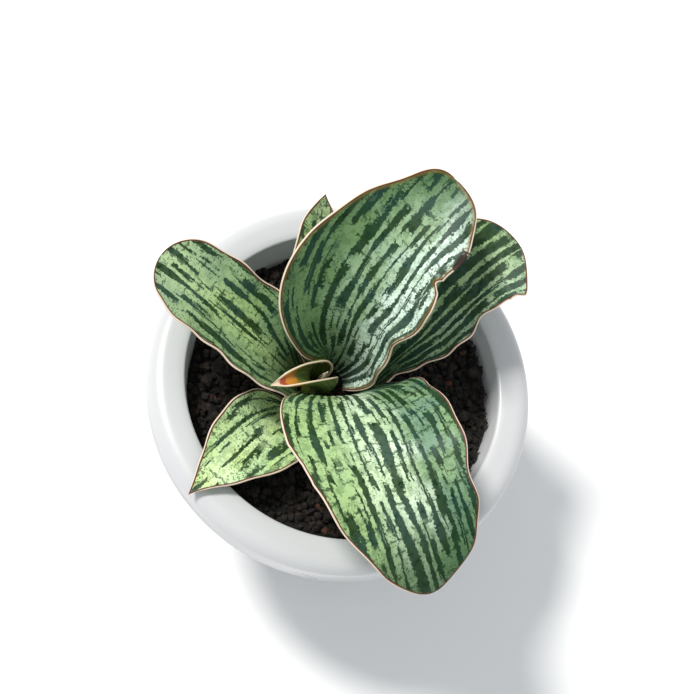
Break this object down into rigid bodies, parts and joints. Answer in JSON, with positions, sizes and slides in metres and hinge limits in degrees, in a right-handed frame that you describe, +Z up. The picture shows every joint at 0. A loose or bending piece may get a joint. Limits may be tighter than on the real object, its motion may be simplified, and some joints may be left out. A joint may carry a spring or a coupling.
{
  "type": "potted snake plant",
  "caption": "Broad-leaved, wavy-edged snake plant rosette in a bed of lava granules, in a round white pot with a wide rolled rim.",
  "frame": {"origin": "centre of the pot's flat underside, where it stands", "axes": "+Z up along the pot's axis; +X towards the right-hand leaves and -Y towards the large arching front leaf"},
  "size_m": [0.1625, 0.1739, 0.1724],
  "materials": {
    "pot": "white moulded plastic, soft gloss",
    "growing_medium": "matt near-black lava granules with brown and rust tints",
    "lava_stone": "matt porous lava, near black to rust brown",
    "rhizome": "matt tan rhizome skin and roots",
    "leaf": "waxy pale green leaf with broken dark green stripes and a thin reddish-brown edge",
    "young_leaf": "olive young leaf with an orange and cream dry tip"
  },
  "bodies": {
    "root": {"growing_medium": "growing_medium", "lava_stone_01": "lava_stone", "lava_stone_02": "lava_stone", "lava_stone_03": "lava_stone", "lava_stone_04": "lava_stone", "lava_stone_05": "lava_stone", "lava_stone_06": "lava_stone", "lava_stone_07": "lava_stone", "lava_stone_08": "lava_stone", "lava_stone_09": "lava_stone", "lava_stone_10": "lava_stone", "lava_stone_11": "lava_stone", "lava_stone_12": "lava_stone", "lava_stone_13": "lava_stone", "lava_stone_14": "lava_stone", "lava_stone_15": "lava_stone", "lava_stone_16": "lava_stone", "lava_stone_17": "lava_stone", "lava_stone_18": "lava_stone", "lava_stone_19": "lava_stone", "lava_stone_20": "lava_stone", "lava_stone_21": "lava_stone", "lava_stone_22": "lava_stone", "lava_stone_23": "lava_stone", "lava_stone_24": "lava_stone", "leaf_back": "leaf", "leaf_front": "leaf", "leaf_left": "leaf", "leaf_lower_left": "leaf", "leaf_right": "leaf", "leaf_small_back": "leaf", "leaf_spear": "young_leaf", "leaf_young_rolled": "young_leaf", "pot": "pot", "rhizome_and_roots": "rhizome"}
  },
  "joints": []
}
